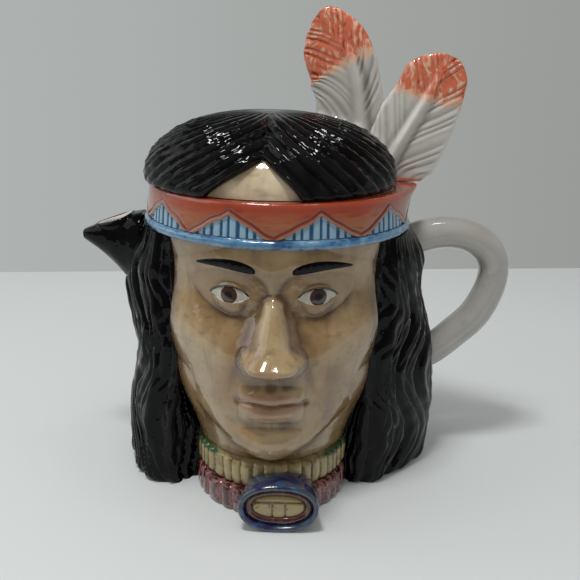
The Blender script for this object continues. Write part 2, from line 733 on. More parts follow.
def loft(name, rings, ends=None, **kind):
    """Skins closed rings; ends gives the two points that close it, or None to join it round."""
    rows, cols = rings.shape[:2]
    if ends is None:
        return new_piece(name, rings, ring_faces(rows, cols), **kind)
    verts = np.concatenate([rings.reshape(-1, 3), np.asarray(ends, float).reshape(2, 3)])
    start, last, k = rows * cols, (rows - 1) * cols, np.arange(cols)
    n = (k + 1) % cols
    first = np.stack([np.full(cols, start), n, k], axis=-1).tolist()
    final = np.stack([np.full(cols, start + 1), last + k, last + n], axis=-1).tolist()
    return new_piece(name, verts, grid_faces(rows, cols, closed=True) + first + final, **kind)


def modify(obj, kind, **settings):
    added = obj.modifiers.new(kind, kind)
    for key, value in settings.items():
        setattr(added, key, value)


def apply_modifiers(obj):
    graph = bpy.context.evaluated_depsgraph_get()
    mesh = bpy.data.meshes.new_from_object(obj.evaluated_get(graph))
    obj.modifiers.clear()
    old, obj.data = obj.data, mesh
    bpy.data.meshes.remove(old)


def cut_by(obj, *forms):
    """Cuts closed rings out of a piece."""
    cutters = []
    for rings in forms:
        rows, cols = rings.shape[:2]
        ends = [list(range(cols))[::-1], list(range((rows - 1) * cols, rows * cols))]
        faces = grid_faces(rows, cols, closed=True) + ends
        cutters.append(add_object("cutter", closed_mesh("cutter", rings, faces)))
        modify(obj, "BOOLEAN", object=cutters[-1], operation="DIFFERENCE", solver="EXACT")
    apply_modifiers(obj)
    for cutter in cutters:
        bpy.data.objects.remove(cutter)


def clean_cut(obj):
    """Joins points that a cut laid on each other, and takes out faces that it folded flat on another."""
    cut = bmesh.new()
    cut.from_mesh(obj.data)
    bmesh.ops.remove_doubles(cut, verts=cut.verts, dist=0.001 * MM)
    bmesh.ops.triangulate(cut, faces=[f for f in cut.faces if len(f.verts) > 4])
    cut.verts.index_update()
    same = {}
    for face in cut.faces:
        same.setdefault(frozenset(v.index for v in face.verts), []).append(face)
    doubled = [f for faces in same.values() if len(faces) > 1 for f in faces]
    bmesh.ops.delete(cut, geom=doubled, context="FACES")
    loose = [f for f in cut.faces if any(e.is_boundary for e in f.edges)]
    bmesh.ops.delete(cut, geom=loose, context="FACES")
    cut.to_mesh(obj.data)
    cut.free()


# Glazes

# Scales of a glaze's swells, runs and fine orange peel, the share of the last, and their height
SWELL_SCALE, RUN_SCALE, PEEL_SCALE = 95.0, 240.0, 700.0
PEEL_SHARE, GLAZE_HEIGHT = 0.05, 0.0016


class Shade:
    """A value or colour in a tree of shader nodes, to add to, multiply, ramp and blend by."""

    def __init__(self, tree, socket):
        self.tree, self.socket = tree, socket

    def out(self, name):
        """Another output of the same node."""
        return Shade(self.tree, self.socket.node.outputs[name])

    def math(self, operation, other):
        return self.tree.node("Math", {0: self, 1: other}, operation=operation)

    def __add__(self, other):
        return self.math("ADD", other)

    def __mul__(self, other):
        return self.math("MULTIPLY", other)

    def run(self, start, end):
        """0 at start and 1 at end, with a soft run between them."""
        inputs = {"Value": self, "From Min": start, "From Max": end}
        return self.tree.node("MapRange", inputs, interpolation_type="SMOOTHSTEP")

    def mix(self, first, second):
        """The first colour where this is 0, and the second where it is 1."""
        first, second = (c if isinstance(c, Shade) else (*c, 1.0) for c in (first, second))
        return self.tree.node("Mix", {0: self, 6: first, 7: second}, data_type="RGBA").out(2)


class Tree:
    """The shader nodes of a material or of the world."""

    def __init__(self, owner):
        owner.use_nodes = True
        self.owner, self.nodes, self.links = owner, owner.node_tree.nodes, owner.node_tree.links

    def node(self, kind, inputs=None, **settings):
        """Adds a shader node and gives its first output."""
        made = self.nodes.new("ShaderNode" + kind)
        for key, value in settings.items():
            setattr(made, key, value)
        self.feed(made, inputs or {})
        return Shade(self, made.outputs[0])

    def feed(self, node, inputs):
        """Sets the inputs of a node; each is a value or the shade that feeds it."""
        for key, value in inputs.items():
            if isinstance(value, Shade):
                self.links.new(value.socket, node.inputs[key])
            else:
                node.inputs[key].default_value = value

    def paint(self, name):
        """What a piece's points carry under this name."""
        return self.node("Attribute", attribute_name=name).out("Fac")

    def grain(self, scale, stretch=(1, 1, 1), lean=(0, 0, 0), detail=3.0, warp=0.0):
        """Cloudy noise on the piece, drawn out along one direction where stretch says so."""
        lean = [math.radians(v) for v in lean]
        place = {"Vector": self.node("TexCoord").out("Object"), "Rotation": lean, "Scale": stretch}
        inputs = {"Vector": self.node("Mapping", place), "Scale": scale, "Detail": detail, "Distortion": warp}
        return self.node("TexNoise", inputs)

    def glaze(self, colour, waviness=0.35, roughness=0.16, gloss=0.035, clear=1.5, body_shine=0.5, small=0.30):
        """A clear coat over this colour, wavy as glaze runs."""
        swell, runs = self.grain(SWELL_SCALE, detail=1.0), self.grain(RUN_SCALE, detail=1.0, warp=0.6)
        height = swell + runs * small + self.grain(PEEL_SCALE, detail=1.0) * PEEL_SHARE
        bump = self.node("Bump", {"Height": height, "Strength": waviness, "Distance": GLAZE_HEIGHT})
        inputs = {"Base Color": colour, "Roughness": roughness, "Specular IOR Level": body_shine}
        coat = {"Coat Weight": 1.0, "Coat Roughness": gloss, "Coat IOR": clear, "Coat Normal": bump}
        self.feed(self.nodes["Principled BSDF"], {**inputs, **coat, "Normal": bump})
        return self.owner


def start_glaze(name):
    return Tree(bpy.data.materials.new(name)), jug().colours


def black_glaze(name):
    tree, c = start_glaze(name)
    worn = tree.paint("ridge").run(0.30, 0.85) * tree.grain(60.0).run(0.25, 0.60)
    colour = worn.mix(c.black, c.black_thin)
    return tree.glaze(colour, waviness=0.6, gloss=0.03, clear=1.28, body_shine=0.0, small=0.12)


def skin_glaze(name, features):
    """Skin brushed with umber, with painted features on the face and paler on the forehead."""
    tree, c = start_glaze(name)
    cloud = tree.grain(34.0, detail=4.0).run(0.38, 0.66)
    brushed = tree.grain(130.0, stretch=(1.0, 1.0, 0.22), lean=(0, 28, 0), detail=5.0, warp=0.4)
    hatched = tree.grain(330.0, stretch=(0.25, 1.0, 1.0), lean=(0, -24, 0), detail=4.0)
    colour = cloud.mix(c.skin, c.skin_pale) if features else cloud.mix(c.skin_pale, c.forehead)
    colour = (brushed.run(0.46, 0.78) * 0.46).mix(colour, c.umber)
    colour = (hatched.run(0.52, 0.75) * 0.30).mix(colour, c.umber)
    if features:
        worn = brushed.run(0.25, 0.62) * 0.5 + 0.5
        eye = tree.paint("eye").run(-0.05, 0.25)
        for share, paint in (
            (tree.paint("wash") * worn, c.umber),
            (tree.paint("lips").run(-0.6, 0.8) * 0.42, c.lips),
            (eye, c.eye),
            (tree.paint("iris").run(0.15, -0.15) * eye, c.iris),
            (tree.paint("pupil").run(0.15, -0.15) * eye, c.black),
            (tree.paint("lash").run(0.9, 0.35), c.black),
        ):
            colour = share.mix(colour, paint)
    return tree.glaze(colour, waviness=0.3)


def white_glaze(name, body):
    tree, c = start_glaze(name)
    colour = (tree.grain(40.0).run(0.40, 0.70) * 0.25).mix(body, c.grey)
    colour = (tree.paint("pool") * 0.75).mix(colour, c.grey)
    specks = tree.grain(1400.0, detail=0.0).run(0.76, 0.80) * 0.4
    return tree.glaze(specks.mix(colour, c.ochre), waviness=0.22)


def feather_glaze():
    """White with grey in the grooves, and coral brushed ragged over the tips."""
    tree, c = start_glaze("feather_glaze")
    colour = (tree.grain(60.0).run(0.40, 0.70) * 0.18).mix(c.white, c.grey)
    colour = (tree.paint("pool") * 0.5).mix(colour, c.grey)
    ragged = tree.paint("tip") + tree.grain(420.0, detail=4.0) * 0.10
    thin = ragged.run(0.03, 0.07).mix(colour, c.coral_pale)
    rubbed = tree.paint("ridge") + tree.grain(210.0, stretch=(1.0, 1.0, 0.6), detail=3.0, warp=2.0) * 3.2
    coral = rubbed.run(2.35, 2.95).mix(c.coral, c.coral_pale)
    coral = rubbed.run(1.85, 1.35).mix(coral, c.coral_deep)
    colour = ragged.run(0.07, 0.12).mix(thin, coral)
    return tree.glaze(tree.paint("blush").run(0.2, 1.0).mix(colour, c.coral), waviness=0.22)


def band_glaze():
    """Blue ribbed panels, then the raised line, the cut line and the streaked field over them."""
    tree, c = start_glaze("band_glaze")
    over = tree.paint("over")
    streaks = tree.grain(260.0, stretch=(0.35, 0.35, 1.5), detail=4.0, warp=0.6)
    field = (tree.paint("rise") + streaks * 0.5).run(1.08, 0.62).mix(c.orange, c.tan)
    field = (streaks.run(0.52, 0.72) * 0.5).mix(field, c.incised)
    worn = tree.paint("rib") + streaks * 0.35
    colour = worn.run(0.30, 0.62).mix(c.blue_deep, c.blue)
    colour = worn.run(0.72, 1.05).mix(colour, c.blue_pale)
    line = streaks.run(0.35, 0.70).mix(c.line, c.tan)
    colour = over.run(-1.85, -1.55).mix(colour, line)
    colour = over.run(-0.72, -0.40).mix(colour, c.incised)
    colour = over.run(0.55, 1.15).mix(colour, field)
    return tree.glaze((tree.paint("seam") * 0.8).mix(colour, c.incised), waviness=0.25, roughness=0.25)


def cord_glaze():
    tree, c = start_glaze("cord_glaze")
    cloud = tree.grain(170.0, stretch=(1.0, 1.0, 1.6), detail=4.0)
    colour = cloud.run(0.34, 0.46).mix(c.blue_deep, c.blue)
    colour = (cloud.run(0.48, 0.75) * 0.7).mix(colour, c.blue_pale)
    fleck = tree.grain(420.0, detail=2.0).run(0.62, 0.70) * 0.6
    return tree.glaze(fleck.mix(colour, c.blue_deep), waviness=0.3)


def upper_bead_glaze():
    tree, c = start_glaze("upper_bead_glaze")
    cloud = tree.grain(180.0, detail=4.0)
    colour = cloud.run(0.45, 0.75).mix(c.cream, c.ochre)
    colour = tree.paint("pool").run(0.55, 0.9).mix(colour, c.ochre)
    return tree.glaze((tree.paint("shade") + cloud * 0.5).run(0.72, 1.0).mix(colour, c.green))


def lower_bead_glaze():
    tree, c = start_glaze("lower_bead_glaze")
    pool = tree.paint("pool")
    dabbed = tree.grain(210.0, detail=3.0, warp=1.6).run(0.40, 0.52) * pool.run(0.45, 0.12)
    return tree.glaze(pool.run(0.75, 0.95).mix(dabbed.mix(c.pink, c.maroon), c.maroon))


def medallion_glaze(name, pale, deep, fleck, scale, edge):
    tree, c = start_glaze(name)
    cloud = tree.grain(scale, detail=3.0, warp=0.8)
    colour = cloud.run(0.42, 0.60).mix(pale, deep)
    colour = tree.grain(2.2 * scale, detail=1.0).run(0.62, 0.70).mix(colour, fleck)
    colour = (tree.paint("edge") + cloud * 0.5).run(0.65, 0.95).mix(colour, edge)
    return tree.glaze(tree.paint("pool").run(0.4, 0.9).mix(colour, c.ochre))


def spout_glaze():
    tree, c = start_glaze("spout_glaze")
    black = (tree.grain(60.0).run(0.42, 0.70) * 0.5).mix(c.black, c.black_thin)
    colour = tree.paint("inside").run(0.35, 0.75).mix(black, c.white)
    return tree.glaze(colour, gloss=0.03, clear=1.28, body_shine=0.0)


# The pieces


def make_body_wall():
    s = jug().pot
    angles = around(144)
    lip, cove = 1.2 * MM, 3 * MM
    up = [0.6 * MM, *np.linspace(2 * MM, BAND_BOTTOM, 34), *np.linspace(BAND_BOTTOM, RIM_Z - lip, 8)[1:]]
    down = [*np.linspace(RIM_Z - lip, BAND_BOTTOM, 8), *np.linspace(BAND_BOTTOM, s.floor + cove, 34)[1:]]

    def ring(z, inset):
        return polar(angles, pot_radius(angles, z) - inset, z)

    rows = [ring(0.0, 9 * MM), ring(0.0, 1.0 * MM), *(ring(z, 0.0) for z in up)]
    for a in np.radians(np.arange(15, 180, 15)):
        rows.append(ring(RIM_Z - lip + lip * math.sin(a), 0.5 * s.wall * (1.0 - math.cos(a))))
    rows += [ring(z, s.wall) for z in down]
    for a in np.radians(np.arange(15, 91, 15)):
        rows.append(ring(s.floor + cove * (1.0 - math.sin(a)), s.wall + cove * (1.0 - math.cos(a))))
    obj = loft(
        "body_wall_glazed", np.stack(rows), ends=((0, 0, 0.0), (0, 0, s.floor)), slot="white_glaze",
        mat=white_glaze("pot_glaze", jug().colours.white), nodes=("body_wall",),
    )
    cut_by(obj, spout_hollow()[0])
    clean_cut(obj)


def make_face():
    s = jug().face
    angles = np.linspace(-s.edge, s.edge, 243)
    heights = np.linspace(COLLAR_TOP + GAP, HAIR_TOP, 225)
    a, z = np.meshgrid(angles, heights)
    radius, x = face_radius(a, z)
    third, _, nose_z, eye_z, _ = levels()
    side, eye = np.abs(x), s.width / 5

    # Umber wash that gathers in hollows, in the nostrils and towards the hair
    hollow, tight = softened(radius, 8) - radius, softened(radius, 3) - radius
    wash = 0.85 * clamp(hollow / (1.1 * MM)) + 0.7 * clamp(tight / (0.35 * MM))
    nostril = bell(side - 0.25 * eye, 0.10 * eye) * bell(z - nose_z - 0.035 * third, 1.5 * MM)
    wash = np.clip(wash + nostril + step(s.edge - 9.0, s.edge, np.abs(a)) * 0.75, 0.0, 0.95)

    inside, _, along = eye_shape(x, z)
    from_iris = np.hypot(side - eye, z - (eye_z + 0.4 * MM))
    far = 9 * MM
    lash = np.where(np.abs(along) < 1.08, np.abs(inside), far) + np.where(z < eye_z, far, 0.0)
    wrapped_sheet(
        "face_glazed", angles, heights, radius, (22, 28), slot="skin_glaze",
        mat=skin_glaze("face_glaze", True), nodes=("face",), wash=wash, lips=mouth_shape(x, z)[1] / MM,
        eye=inside / MM, iris=(from_iris - s.iris) / MM, pupil=(from_iris - s.pupil) / MM, lash=lash / MM,
    )


def make_brows():
    """Two raised brows under the black glaze of the hair."""
    s = jug().face
    mat = black_glaze("brow_glaze")
    along = (0.5 - 0.5 * np.cos(np.linspace(0.04, 0.96, 72) * math.pi))[:, None]
    arch, thick = brow_line(along)
    x = (0.40 + 1.32 * along) * (s.width / 5)
    reach = np.linspace(0.0, s.edge, 240)
    turn_at = np.interp(x, face_radius(reach, levels()[4])[1], reach)
    t = circle(24)
    z = arch + thick * np.cos(t)
    strokes = 0.10 * MM * np.sin((0.8 * x + z) / (0.45 * MM))
    proud = (0.7 * MM + strokes) * np.sin(t) * (thick / thick.max()) ** 0.5
    for name, way in (("brow_left", -1), ("brow_right", 1)):
        rings = polar(way * turn_at, face_radius(way * turn_at, z)[0] + proud, z)
        loft(name, rings, ends=middles(rings), slot="black_glaze", mat=mat)


def side_hair(node, way, heights, mat):
    """One curtain of hair: a carved edge beside the face, a round corner and the outer locks."""
    s, edge = jug().hair, jug().face.edge
    gap = math.degrees(GAP / jug().pot.radius)
    up = heights[:, None]
    # 24 columns over the wall, 8 round the corner and 161 outside make 192 steps, 16 for each one behind
    outer = np.linspace(edge + s.corner_turn, s.back_edge - gap, 161)
    radius, relief = hair_radius(way * outer, up)
    inner = pot_radius(edge, up) + LAYER_GAP + 0.8 * MM
    reach = radius[:, :1]
    corner = np.minimum(s.corner, 0.6 * (reach - inner))
    u = np.arange(24) / 24
    wall = inner + (reach - corner - inner) * u
    wave = 0.42 * np.sin(2 * math.pi * up / s.wave_length + way) + 0.20 * ripple(way * 40.0, up, 0.07)
    tress = grooves(s.tresses * u + wave) + 0.22 * grooves(3.0 * s.tresses * u + 2.0 * wave)
    tress = s.tress_depth * (tress + 0.15 + 0.12 * uneven(s.tresses * u + wave, up / 0.024)) * (1.0 - u**6)
    wall_angle = edge + gap + np.degrees(np.maximum(tress, 0.0) / wall)
    bend = np.radians(np.arange(8) * 90.0 / 8)
    arc_angle = edge + gap + (s.corner_turn - gap) * (1.0 - np.cos(bend))
    arc = hair_radius(way * arc_angle, up)[0] - corner * (1.0 - np.sin(bend))
    arc = np.maximum(arc, inner + 0.6 * MM)
    arc_angle, outer = np.broadcast_to(arc_angle, arc.shape), np.broadcast_to(outer, radius.shape)
    angles = np.concatenate([wall_angle, arc_angle, outer], axis=1)
    front = polar(way * angles, np.concatenate([wall, arc, radius], axis=1), up)
    back = on_pot(way * np.linspace(edge + gap, s.back_edge - gap, 13), heights[::17])
    ridge = [1.0 - tress / s.tress_depth, np.full(arc.shape, 0.8), relief / (2 * MM) + 0.4]
    return sheet(
        node + "_carved", front, back, slot="black_glaze", mat=mat, nodes=(node,),
        ridge=clamp(np.concatenate(ridge, axis=1)),
    )


def make_long_hair():
    s = jug().hair
    gap = math.degrees(GAP / jug().pot.radius)
    mat = black_glaze("black_glaze")
    heights = np.concatenate([np.linspace(0.0, 8 * MM, 21)[:-1], np.linspace(8 * MM, HAIR_TOP, 151)])
    left = side_hair("hair_left", -1.0, heights, mat)
    cut_by(left, spout_rings(GAP))
    clean_cut(left)
    side_hair("hair_right", 1.0, heights, mat)
    angles = np.linspace(s.back_edge + gap, 360.0 - s.back_edge - gap, 169)
    radius, relief = hair_radius(angles, heights[:, None])
    wrapped_sheet(
        "hair_back_carved", angles, heights, radius, (12, 17), slot="black_glaze",
        mat=mat, nodes=("hair_back",), ridge=clamp(relief / (2 * MM) + 0.4),
    )


def make_headband():
    s = jug().band
    angles = around(900)
    floor_z = 2 * CORD_RADIUS + GAP
    a, h = np.meshgrid(angles, np.linspace(floor_z, BAND_HEIGHT, 54))
    lift = clamp((h - floor_z) / (BAND_HEIGHT - floor_z))
    seat = s.seat_reach * bell(wrapped(a - s.seat_angle), s.seat_spread)
    inner = jug().pot.radius + GAP
    field = inner + s.thickness - s.taper * lift + seat * lift**2

    # The zigzag, and how far each point lies over it, square to its run
    period = 360.0 / s.triangles
    wobble = 0.25 * MM * np.sin(np.radians(a) * 23) + 0.2 * MM * np.sin(np.radians(a) * 41 + 1)
    phase = np.abs((a / period + 0.5) % 1.0 - 0.5) * 2.0
    zigzag = s.zigzag_low + (s.zigzag_high - s.zigzag_low) * phase + wobble
    run = 0.5 * period * math.radians(1) * inner
    over = (h - zigzag) * (run / math.hypot(run, s.zigzag_high - s.zigzag_low))

    ribs = np.abs(np.sin(math.pi * (a / period + 0.5) * s.ribs + 0.35 * np.sin(np.radians(a) * 37)))
    rib = step(0.25, 0.75, ribs)
    panel = -s.step + s.rib_height * (rib - 0.35) * step(-s.line, -s.line - 1.4 * MM, over)
    raised = step(-s.line - 0.35 * MM, -s.line + 0.25 * MM, over)
    relief = panel + (0.25 * MM * bell(over + 0.9 * MM, 0.7 * MM) + s.step) * raised
    relief = np.where(over > -s.line - MM, np.maximum(panel, relief), panel)
    incised = 0.4 * MM * bell(over - 0.2 * MM, 0.5 * s.cut)
    lip = 0.4 * MM * step(BAND_HEIGHT - 2.2 * MM, BAND_HEIGHT, h)
    edge = 0.9 * MM * (1.0 - bow(clamp((h - BAND_HEIGHT + 1.2 * MM) / (1.2 * MM))))
    outer = polar(a, field + relief - incised - lip - edge, BAND_BOTTOM + h)
    ledge = polar(angles, field[-1] - 1.6 * MM, RIM_Z)
    inside = [polar(angles, inner, BAND_BOTTOM + z) for z in (BAND_HEIGHT, floor_z)]
    pad = np.zeros((3, len(angles)))
    loft(
        "headband_glazed", np.concatenate([outer, np.stack([ledge, *inside])]),
        slot="orange_glaze", mat=band_glaze(), nodes=("headband",),
        over=np.concatenate([over / MM, pad + 2.0]), rise=np.concatenate([lift, pad + 1.0]),
        rib=np.concatenate([rib, pad]), seam=np.concatenate([step(0.97, 1.0, lift) * 0.5, pad + 0.6]),
    )

    a, t = np.meshgrid(around(540), circle(28), indexing="ij")
    knock = 1.0 + 0.05 * np.sin(np.radians(a) * 31) + 0.04 * np.sin(np.radians(a) * 53 + 2)
    middle = inner + s.thickness - 0.4 * CORD_RADIUS
    rings = polar(a, middle + CORD_RADIUS * knock * np.cos(t), BAND_BOTTOM + CORD_RADIUS * (1 + np.sin(t)))
    loft("headband_cord_rolled", rings, slot="blue_glaze", mat=cord_glaze(), nodes=("headband_cord",))


def make_collar():
    s, edge = jug().collar, jug().face.edge
    angles = np.linspace(-edge, edge, 353)
    off = np.abs(angles)
    upper_start = COLLAR_SPLIT + GAP
    for node, start, end, thickness, beads, slot, mat in (
        ("collar_lower", 0.0, COLLAR_SPLIT, s.lower, s.lower_beads, "maroon_glaze", lower_bead_glaze()),
        ("collar_upper", upper_start, COLLAR_TOP, s.upper, s.upper_beads, "cream_glaze", upper_bead_glaze()),
    ):
        heights = np.linspace(start, end, 33)
        z = heights[:, None]
        level = (z - start) / (end - start)
        crowd = 0.16 * np.sin(angles / 6.1 + 1.3) + 0.10 * np.sin(angles / 2.9 + 0.4)
        column = (angles / edge + 1.0) * 0.5 * beads + crowd + 0.05 * np.sin(5.0 * level + angles / 9.0)
        bead = np.abs(np.sin(math.pi * column)) ** 0.45
        round_row = bow((2.0 * level - 1.0) ** 2)
        thick = thickness + (s.side - thickness) * clamp(off / edge) ** 2
        swell = 0.9 * MM - 2.2 * MM * (1.0 - round_row) - s.bead * (1.0 - bead)
        wrapped_sheet(
            node + "_beads", angles, heights, pot_radius(angles, z) + LAYER_GAP + thick + swell, (11, 8),
            slot=slot, mat=mat, nodes=(node,), pool=1.0 - bead,
            shade=step(0.55, 1.0, level) * (0.35 + 0.65 * step(14.0, 40.0, off)),
        )


def fuller(wave, power=0.88):
    """A cosine or sine bent outward, which makes a circle squarer."""
    return np.sign(wave) * np.abs(wave) ** power


def oval_rings(profile, columns=144, knock=0.0):
    """Upright ovals about the medallion's middle: (inset from the rim, depth behind the front)."""
    s, a = jug().medallion, circle(columns)
    rough = 1.0 + knock * (np.sin(5 * a + 1.0) + 0.6 * np.sin(9 * a))
    rings = []
    for inset, depth in profile:
        x = s.centre + (MEDALLION_HALF_WIDTH + s.spread - inset) * fuller(np.cos(a))
        z = MEDALLION_HALF_HEIGHT + (MEDALLION_HALF_HEIGHT - inset) * fuller(np.sin(a))
        rings.append(points(x, MEDALLION_LOW.y + depth * rough, z))
    return np.stack(rings)


def make_medallion():
    s, c = jug().medallion, jug().colours
    back = MEDALLION_HIGH.y - MEDALLION_LOW.y
    half = 0.5 * s.rim
    turns = np.radians(np.arange(0, 181, 12))
    arch = [(half + half * math.cos(a), half * (1.0 - math.sin(a)) * 1.1) for a in turns]
    loft(
        "medallion_rim_glazed", oval_rings([(s.rim, back), *arch, (s.narrow, back)], knock=0.03),
        slot="cobalt_glaze", nodes=("medallion_rim",),
        mat=medallion_glaze("cobalt_glaze", c.cobalt_pale, c.cobalt, c.blue_deep, 90.0, c.cobalt_pale),
    )

    start, end = s.rim + GAP, s.rim + s.band
    shares = [k / 12 for k in range(13)]
    depths = [s.sink + 0.9 * MM * (1.0 - math.sin(math.pi * t)) - 0.5 * MM for t in shares]
    arch = [(end + (start - end) * t, depth) for t, depth in zip(shares, depths)]
    loft(
        "medallion_band_glazed", oval_rings([(end, back), *arch, (start, back)]),
        slot="maroon_glaze", nodes=("medallion_band",),
        mat=medallion_glaze("band_maroon_glaze", c.maroon, c.umber, c.cobalt, 300.0, c.pink),
        edge=np.repeat([abs(2 * t - 1.0) ** 3 for t in (0.0, *shares, 1.0)], 144),
    )

    # A domed bead in the middle, with one groove across it and two down from there
    start = s.rim + s.band + GAP
    reach = MEDALLION_HALF_HEIGHT - start
    profile = [(start, back), (start, s.sink + 1.6 * MM)]
    for t in np.linspace(0.04, 0.97, 20):
        profile.append((start + reach * t, s.sink + 1.1 * MM - 1.5 * MM * bow(1.0 - min(2.5 * t, 1.0))))
    rings = oval_rings(profile, 160)
    x, z = rings[..., 0] - s.centre, rings[..., 2] - MEDALLION_HALF_HEIGHT
    groove = bell(z - 0.45 * reach, 0.38 * MM)
    for at in (-0.26, 0.30):
        groove = groove + bell(x - at * reach * 1.9, 0.38 * MM) * step(0.50 * reach, 0.40 * reach, z)
    groove = clamp(groove)
    groove[:2] = 0.0
    rings[..., 1] += 0.7 * MM * groove
    loft(
        "medallion_centre_glazed", rings, ends=middles(rings), slot="cream_glaze", nodes=("medallion_centre",),
        mat=medallion_glaze("medallion_cream_glaze", c.cream, c.cream, c.ochre, 200.0, c.ochre),
        pool=clamp(groove * 1.3),
    )


# The spout's depth and half width at its root
SPOUT_DEPTH, SPOUT_HALF = 0.042, 0.016
# How far its root reaches into the pot, and how deep its bore may lie under its top
SPOUT_ROOT, BORE_DEPTH = 0.012, 0.030
# The length that its nose tapers over, and the share of its inner width that its mouth takes
NOSE_LENGTH, MOUTH_SHARE = 0.027, 0.80
# Sections back from the nose: way back, top and bottom off the hair's top, and half width, as shares
SPOUT_NOSE = (
    (0.940, 0.062, -0.855, 0.890),
    (0.815, 0.032, -0.722, 0.794),
    (0.556, -0.025, -0.530, 0.650),
    (0.333, -0.074, -0.396, 0.500),
    (0.148, -0.118, -0.308, 0.360),
    (0.037, -0.150, -0.262, 0.220),
)


def spout_sections():
    """Reach, top, bottom and half width of the spout's sections, from the pot to its nose."""
    radius = jug().pot.radius
    band = radius + jug().band.thickness
    rows = [
        (radius - SPOUT_ROOT, -0.024, -1.000, 1.000),
        (band + 6 * GAP, -0.005, -0.952, 0.969),
        (band + 9 * GAP, 0.074, -0.948, 0.965),
        (band + 12 * GAP, 0.078, -0.940, 0.960),
    ]
    rows += [(SPOUT_REACH + 0.001 - NOSE_LENGTH * back, *rest) for back, *rest in SPOUT_NOSE]
    scale, start = (1.0, SPOUT_DEPTH, SPOUT_DEPTH, SPOUT_HALF), (0.0, HAIR_TOP, HAIR_TOP, 0.0)
    return np.stack(curves(np.array(rows) * scale + start, np.linspace(0, 1, 36)), axis=-1)


def spout_ring(section, grow):
    reach, top, bottom, half = section
    across, up = np.cos(circle(48)), np.sin(circle(48))
    power = np.where(up > 0, 0.75, 1.0)
    y = (half + grow) * (1.0 - 0.28 * (0.5 - 0.5 * up)) * fuller(across, power)
    return points(-reach, y, 0.5 * (top + bottom) + (0.5 * (top - bottom) + grow) * fuller(up, power))


def spout_rings(grow):
    return np.stack([spout_ring(section, grow) for section in spout_sections()])


def spout_at(reach):
    """The spout at a reach: top, bottom and half width, and the half width open in its mouth."""
    sections = spout_sections()
    top, bottom, half = (np.interp(reach, sections[:, 0], sections[:, k]) for k in (1, 2, 3))
    return top, bottom, half, MOUTH_SHARE * (half - 0.5 * jug().spout.wall)


def spout_mouth():
    """Middle and half length of the open mouth."""
    half_long = 0.5 * jug().spout.mouth
    return SPOUT_REACH - jug().spout.lip - half_long, half_long


def spout_hollow():
    """The bore from the pot to near the nose, and the smooth well that opens it above."""
    s = jug().spout
    bore, well = [], []
    for reach, top, bottom, half in spout_sections():
        if reach <= SPOUT_REACH - s.lip:
            floor_z = max(bottom, top - BORE_DEPTH) + 1.8 * s.wall
            bore.append((reach, top - s.wall, floor_z, max(half - s.wall, 0.5 * s.wall)))
    bore.insert(0, (bore[0][0] - SPOUT_ROOT, *bore[0][1:]))
    middle, half_long = spout_mouth()
    for along in np.sin(np.radians(np.linspace(-80, 80, 17))):
        reach = middle + half_long * along
        top, bottom, _, mouth = spout_at(reach)
        opened = max(mouth * math.sqrt(1.0 - along**2), 0.2 * MM)
        well.append((reach, top + 3 * s.wall, 0.5 * (top + bottom) - 0.5 * s.wall, opened))
    return tuple(np.stack([spout_ring(row, 0.0) for row in rows]) for rows in (bore, well))


def spout_lip():
    """A thin roll of clay round the mouth of the spout."""
    s, a = jug().spout, circle(72)
    middle, half_long = spout_mouth()
    reach = middle + (half_long + 0.3 * MM) * np.cos(a)
    top, bottom, half, mouth = spout_at(reach)
    y = (mouth + 0.5 * s.roll) * np.sin(a)
    fall = 0.5 * (top - bottom) * (1.0 - clamp(1.0 - (np.abs(y) / half) ** 2.67) ** 0.375)
    path = points(-reach, y, top - 0.5 * fall - 0.6 * s.roll)
    ahead = unit(np.roll(path, -1, axis=0) - np.roll(path, 1, axis=0))
    side = unit(np.cross(ahead, (0.0, 0.0, 1.0)))
    over = np.cross(side, ahead)
    t = circle(16)[:, None]
    tall = (s.roll + 0.35 * fall)[:, None, None]
    return path[:, None] + s.roll * np.cos(t) * side[:, None] + tall * np.sin(t) * over[:, None]


def make_spout():
    s = jug().spout
    rings = spout_rings(0.0)
    foot, nose = middles(rings)
    ends = (foot, nose - (0.4 * MM, 0, 0))
    obj = loft("spout_glazed", rings, ends=ends, slot="black_glaze", mat=spout_glaze(), nodes=("spout",))
    angles = around(96)
    pot = [polar(angles, pot_radius(angles, z) + LAYER_GAP, z) for z in np.linspace(0.02, BAND_BOTTOM, 24)]
    cut_by(obj, *spout_hollow(), np.stack(pot))

    # The roll round the mouth is joined on, and the whole is smoothed as wet clay is by a sponge
    roll = spout_lip()
    lip = closed_mesh("lip", roll, ring_faces(*roll.shape[:2]))
    both = bmesh.new()
    both.from_mesh(obj.data)
    both.from_mesh(lip)
    both.to_mesh(obj.data)
    both.free()
    bpy.data.meshes.remove(lip)
    modify(obj, "REMESH", mode="VOXEL", voxel_size=s.voxel, use_smooth_shade=True)
    modify(obj, "SMOOTH", factor=0.5, iterations=8)
    apply_modifiers(obj)

    # How far each point lies inside the bore or the mouth, where the glaze is white
    verts = np.empty(len(obj.data.vertices) * 3)
    obj.data.vertices.foreach_get("co", verts)
    x, y, z = verts.reshape(-1, 3).T
    top, bottom, half, mouth = spout_at(-x)
    tall = 0.5 * (top - bottom)
    up = (z - 0.5 * (top + bottom)) / tall
    keel = 1.0 - 0.14 * (1.0 - np.clip(up, -1, 1))
    from_skin = (1.0 - np.hypot(y / (half * keel), up)) * half / (0.5 * SPOUT_HALF)
    middle, half_long = spout_mouth()
    off = np.hypot((-x - middle) / half_long, y / mouth)
    inside = step(0.12, 0.3, from_skin) * step(0.02, 0.10, (top - z) / tall)
    inside = np.maximum(inside, step(1.04, 0.94, off) * step(-0.45, -0.25, up))
    obj.data.attributes.new("inside", "FLOAT", "POINT").data.foreach_set("value", inside.astype(np.float32))


